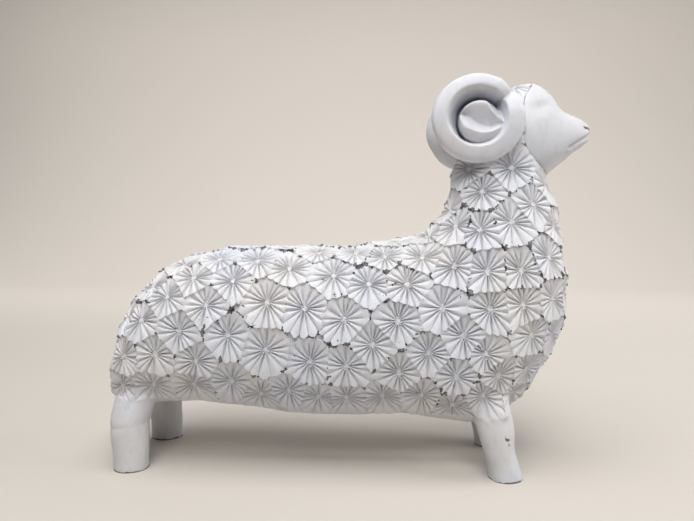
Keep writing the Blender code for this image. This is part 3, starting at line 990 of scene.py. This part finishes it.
# The paint's colours.
PAINT_WHITE = (0.655, 0.67, 0.72, 1.0)
PAINT_WARM = (0.70, 0.685, 0.685, 1.0)
# Grey for the wash streaks and for the painted shade.
GREY_WASH_AND_SHADE = (0.34, 0.35, 0.39, 1.0)
# Painted shade deep in the horns' coils.
COIL_PAINTED_SHADE = (0.26, 0.29, 0.38, 1.0)
CHIP_DARK = (0.045, 0.043, 0.050, 1.0)
CHIP_GREY = (0.19, 0.185, 0.19, 1.0)

# How much grey lies over the brush marks as wash, as painted shade in the coil, under the overlaps
# and in the pleats, and as plain darkening towards the floor and on the face, and where, in metres in
# the imported model's frame.
PATCH_SCALE = 14.0
BRUSH_SCALE = (190.0, 190.0, 90.0)
BRUSH_FADE = (0.48, 0.72)
BRUSH_WASH = 0.16
COIL_PAINTED_SHADE_SHARE = 0.8
UNDER_RIM_PAINTED_SHADOW = 0.45
VALLEY_PAINTED_SHADE = (0.03, 0.20)
DARKER_NEAR_FLOOR_Z = (0.035, 0.055)
DARKER_NEAR_FLOOR = 0.18
FACE_X = (0.128, 0.138)
FACE_Z = (0.19, 0.20)
FACE_DARKENING = 0.2

# The line in a pleat's valley, painted shade and sunk a little: widths in millimetres, depth in metres.
LINE_WIDTH = 0.75
LINE_NARROWS = 0.10
LINE_STARTS = (2.0, 8.0)
LINE_LOW_SIDE = (0.25, 0.9)
LINE_DEPTH = 0.0004

# Wear: chips show where it passes CHIP_FROM. It adds up from noise and from these shares where
# rosettes meet, with more of it high up and along the floor. Depths and heights are in metres.
CHIP_SCALE = 260.0
CHIP_SPREAD_SCALE = 22.0
CHIP_SPREAD = 0.10
CHIP_AT_CORNER = 0.28
CHIP_AT_RIM = 0.15
CHIP_AT_UNDER = 0.20
CHIP_HIGH_Z = (0.12, 0.165)
CHIP_HIGH = 0.05
CHIP_FROM = 0.80
CHIP_EDGE = 0.02
CHIP_INSIDE = (0.05, 0.12)
CHIP_DEPTH = 0.0003
SMALL_CHIP_AND_NOSTRIL_SHADE_EDGE = 0.05
SPECK_SCALE = 800.0
SPECK_FROM = (0.77, 0.79)
SPECK_WEAR = 0.81
FOOT_CHIP_Z = 0.0022
FOOT_CHIP_WEAR = 0.48
FOOT_CHIP_ENDS = (0.002, 0.003)

# The crack's width in marks and the scale at which it breaks up, and the paint's grain and sheen.
CRACK_EDGE = 1.6
CRACK_SCALE = 150.0
GRAIN_SCALE = 260.0
GRAIN_HEIGHT = 0.00017
ROUGHNESS = (0.5, 0.68)
SHEEN = 0.35


def pleat_lines(n):
    """1 along the valley of each pleat, drawn from the place within the rosette, for painted shade in
    the valley and a slight groove.
    """
    across, along, radius = n.parts(n.mark("arm", "Vector"))
    phase, petals, sway = n.parts(n.mark("chance", "Vector"))
    out = n.math("SQRT", n.plus(n.times(across, across), n.times(along, along)))
    angle = n.math("ARCTAN2", along, across)
    twice = n.math("SINE", n.plus(n.times(angle, 2.0), sway))
    thrice = n.math("SINE", n.math("SUBTRACT", n.times(angle, 3.0), sway))
    uneven = n.times(n.plus(twice, thrice), PLEAT_UNEVEN)
    turn = n.plus(n.times(n.math("DIVIDE", angle, 2 * math.pi), petals), n.plus(phase, uneven))
    off = n.math("ABSOLUTE", n.math("SUBTRACT", turn, n.math("ROUND", turn)))
    off = n.math("DIVIDE", n.times(off, out, 2 * math.pi), petals)
    width = n.math("MINIMUM", n.times(out, LINE_NARROWS), LINE_WIDTH)
    line = n.math("SUBTRACT", 1.0, n.math("DIVIDE", off, width), clamp=True)
    share = n.math("DIVIDE", out, radius)
    low_side = n.ramp(n.math("DIVIDE", along, out), *LOW_SIDE_FADE, *LINE_LOW_SIDE)
    rim = n.math("MAXIMUM", n.ramp(share, *RIM_FADE, 1.0, 0.0), low_side)
    return n.times(line, rim, n.ramp(out, *LINE_STARTS))


def chip_and_nostril_shade_marks(n):
    """How worn each place is: over CHIP_FROM the dark undercoat shows, most where rosettes meet; the
    nostril's slit passes it too, as painted shade.
    """
    coat, small = n.mark("coat"), n.mark("small_chip_and_nostril_shade")
    z = n.parts(n.place())[2]
    blobs = n.noise(CHIP_SCALE)
    spread = n.ramp(n.noise(CHIP_SPREAD_SCALE), 0.38, 0.62, -CHIP_SPREAD, CHIP_SPREAD)
    corner = n.times(n.mark("corner"), CHIP_AT_CORNER)
    high = n.ramp(z, *CHIP_HIGH_Z, 0.0, CHIP_HIGH)
    rim = n.times(n.mark("rim"), n.plus(high, CHIP_AT_RIM))
    under = n.times(n.mark("under"), n.plus(high, CHIP_AT_UNDER))
    meeting = n.plus(corner, n.math("MAXIMUM", rim, under))
    wear = n.times(n.plus(blobs, spread, meeting), coat)
    specks = n.times(n.ramp(n.noise(SPECK_SCALE, 1.0), *SPECK_FROM, 0.0, SPECK_WEAR), coat)
    # Small chips on the legs, and the nostril's slit as painted shade.
    legs = n.times(n.plus(small, blobs), n.ramp(small, 0.0, SMALL_CHIP_AND_NOSTRIL_SHADE_EDGE))
    feet = n.plus(blobs, n.ramp(z, 0.0, FOOT_CHIP_Z, FOOT_CHIP_WEAR, 0.0))
    feet = n.times(feet, n.ramp(z, *FOOT_CHIP_ENDS, 1.0, 0.0))
    return n.math("MAXIMUM", n.math("MAXIMUM", wear, feet), n.math("MAXIMUM", legs, specks))


def washed_and_shaded(n, coat, line, fine):
    """White and warmer patches with grey wash streaks over them, and grey as painted shade in the coils,
    under the overlaps and in the pleats, with darkening towards the floor and on the face.
    """
    brushed = n.noise(1.0, 3.0, 0.6, n.stretched(n.place(), BRUSH_SCALE))
    colour = n.mix(n.ramp(n.noise(PATCH_SCALE, 3.0), 0.35, 0.65), PAINT_WHITE, PAINT_WARM)
    colour = n.mix(n.ramp(brushed, *BRUSH_FADE, 0.0, BRUSH_WASH), colour, GREY_WASH_AND_SHADE)
    # Painted shade deep in the horns' coils.
    colour = n.mix(n.times(n.mark("deep"), COIL_PAINTED_SHADE_SHARE), colour, COIL_PAINTED_SHADE)
    # Painted shade along each pleat's valley.
    colour = n.mix(n.times(line, n.ramp(fine, 0.25, 0.65, *VALLEY_PAINTED_SHADE)), colour, GREY_WASH_AND_SHADE)
    # Painted shadow under the lower edge of the rosette above.
    colour = n.mix(n.times(n.mark("under"), UNDER_RIM_PAINTED_SHADOW), colour, GREY_WASH_AND_SHADE)
    x, _, z = n.parts(n.place())
    # Darker towards the floor.
    colour = n.mix(n.ramp(z, *DARKER_NEAR_FLOOR_Z, DARKER_NEAR_FLOOR, 0.0), colour, GREY_WASH_AND_SHADE)
    # The smooth face a little darker.
    face = n.times(n.ramp(x, *FACE_X), n.ramp(z, *FACE_Z))
    face_darkening = n.math("SUBTRACT", FACE_DARKENING, n.times(coat, FACE_DARKENING))
    return n.mix(n.times(face, face_darkening), colour, GREY_WASH_AND_SHADE)


def cracked_seam(n):
    """How dark the broken line behind the smooth head is."""
    line = n.math("SUBTRACT", CRACK_EDGE, n.math("ABSOLUTE", n.mark("seam")), clamp=True)
    return n.times(line, n.ramp(n.noise(CRACK_SCALE), 0.4, 0.6, 0.1, 0.9))


def white_paint():
    """Bluish-white matt paint, with painted shade in the pleats and dark chips where rosettes meet."""
    n = Nodes("worn_white_paint_with_painted_shade")
    coat = n.mark("coat")
    fine = n.noise(GRAIN_SCALE, 4.0, 0.6)
    line = n.times(pleat_lines(n), coat)
    wear = chip_and_nostril_shade_marks(n)
    # The chips' dark undercoat, and the nostril's slit as painted shade.
    chip = n.ramp(wear, CHIP_FROM, CHIP_FROM + CHIP_EDGE)
    middle = n.ramp(wear, CHIP_FROM + CHIP_INSIDE[0], CHIP_FROM + CHIP_INSIDE[1])
    inside = n.mix(n.times(middle, n.ramp(fine, 0.35, 0.55)), CHIP_DARK, CHIP_GREY)
    colour = n.mix(chip, washed_and_shaded(n, coat, line, fine), inside)
    n.put(n.shader, "Base Color", n.mix(cracked_seam(n), colour, CHIP_DARK))
    n.put(n.shader, "Roughness", n.ramp(fine, 0.3, 0.7, *ROUGHNESS))
    n.put(n.shader, "Specular IOR Level", SHEEN)
    sunk = n.plus(n.times(line, -LINE_DEPTH), n.times(chip, -CHIP_DEPTH))
    height = n.plus(sunk, n.times(fine, GRAIN_HEIGHT))
    bump = n.add("ShaderNodeBump", Strength=1.0, Distance=1.0, Height=height)
    n.put(n.shader, "Normal", bump.outputs["Normal"])
    return n.material


# Studio.

BACKDROP = (0.565, 0.523, 0.475, 1.0)
BACKDROP_SHADE = 0.985
BACKDROP_HALF_WIDTH = 5.0
FLOOR_FROM_Y = -3.0
FLOOR_TO_Y = 1.6
SWEEP_RADIUS = 1.2
SWEEP_STEPS = 24
WALL_TOP = 5.0
AIR_COLOUR = (1.0, 0.98, 0.97, 1.0)
AIR_STRENGTH = 0.01

# Lights: name, place, the place each is aimed at, width, height and watts.
RAM_MIDDLE = (0.0, 0.0, 0.15)
LIGHTS = [
    ("key", (-0.1, -0.35, 1.3), RAM_MIDDLE, 1.0, 1.0, 16.0),
    ("front", (0.1, -1.35, 1.6), RAM_MIDDLE, 0.9, 0.9, 17.5),
    ("right", (1.3, 0.0, 0.6), RAM_MIDDLE, 0.8, 0.8, 8.0),
    ("wall", (0.0, 1.15, 1.45), (0.0, 2.25, 0.25), 5.0, 0.8, 59.0),
]


def backdrop():
    """A seamless sweep: the floor runs back and curves up into the wall."""
    line = [(FLOOR_FROM_Y, 0.0), (FLOOR_TO_Y, 0.0)]
    for step in range(1, SWEEP_STEPS + 1):
        a = math.pi / 2 * step / SWEEP_STEPS
        line.append((FLOOR_TO_Y + SWEEP_RADIUS * math.sin(a), SWEEP_RADIUS * (1 - math.cos(a))))
    line.append((FLOOR_TO_Y + SWEEP_RADIUS, WALL_TOP))
    mesh = bmesh.new()
    ends = (-BACKDROP_HALF_WIDTH, BACKDROP_HALF_WIDTH)
    rows = [[mesh.verts.new((x, y, z)) for x in ends] for y, z in line]
    for a, b in zip(rows, rows[1:]):
        mesh.faces.new((a[0], a[1], b[1], b[0]))
    sweep = object_of("backdrop", mesh)
    sweep.data.shade_smooth()
    n = Nodes("backdrop_paper")
    shade = [c * BACKDROP_SHADE for c in BACKDROP[:3]] + [1.0]
    n.put(n.shader, "Base Color", n.mix(n.noise(3.0), BACKDROP, shade))
    n.put(n.shader, "Roughness", 0.9)
    sweep.data.materials.append(n.material)


def aimed(obj, place, target):
    obj.location = place
    obj.rotation_euler = (Vector(target) - Vector(place)).to_track_quat("-Z", "Y").to_euler()


def soft_light(name, place, target, width, height, power_watts):
    data = bpy.data.lights.new(name, "AREA")
    data.shape = "RECTANGLE"
    data.size = width
    data.size_y = height
    data.energy = power_watts
    obj = bpy.data.objects.new(name, data)
    bpy.context.scene.collection.objects.link(obj)
    aimed(obj, place, target)


def studio():
    backdrop()
    for light in LIGHTS:
        soft_light(*light)
    world = bpy.data.worlds.new("studio_air")
    world.use_nodes = True
    background = world.node_tree.nodes["Background"]
    background.inputs["Color"].default_value = AIR_COLOUR
    background.inputs["Strength"].default_value = AIR_STRENGTH
    bpy.context.scene.world = world
    bpy.context.scene.view_settings.view_transform = "Standard"


def camera():
    """The camera at the photograph's viewing angle."""
    data = bpy.data.cameras.new("camera")
    data.lens = CAMERA_LENS
    data.sensor_width = CAMERA_SENSOR
    data.clip_start = CAMERA_CLIP
    obj = bpy.data.objects.new("camera", data)
    bpy.context.scene.collection.objects.link(obj)
    yaw, pitch = math.radians(CAMERA_YAW), math.radians(CAMERA_PITCH)
    look = Vector((math.sin(yaw) * math.cos(pitch), math.cos(yaw) * math.cos(pitch), -math.sin(pitch)))
    aimed(obj, CAMERA_PLACE, Vector(CAMERA_PLACE) + look)
    bpy.context.scene.camera = obj


def main():
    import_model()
    camera()
    ram = casting(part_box("ram"))
    ram.data.materials.clear()
    ram.data.materials.append(white_paint())
    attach(ram, "root")
    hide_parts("ram")
    studio()


main()
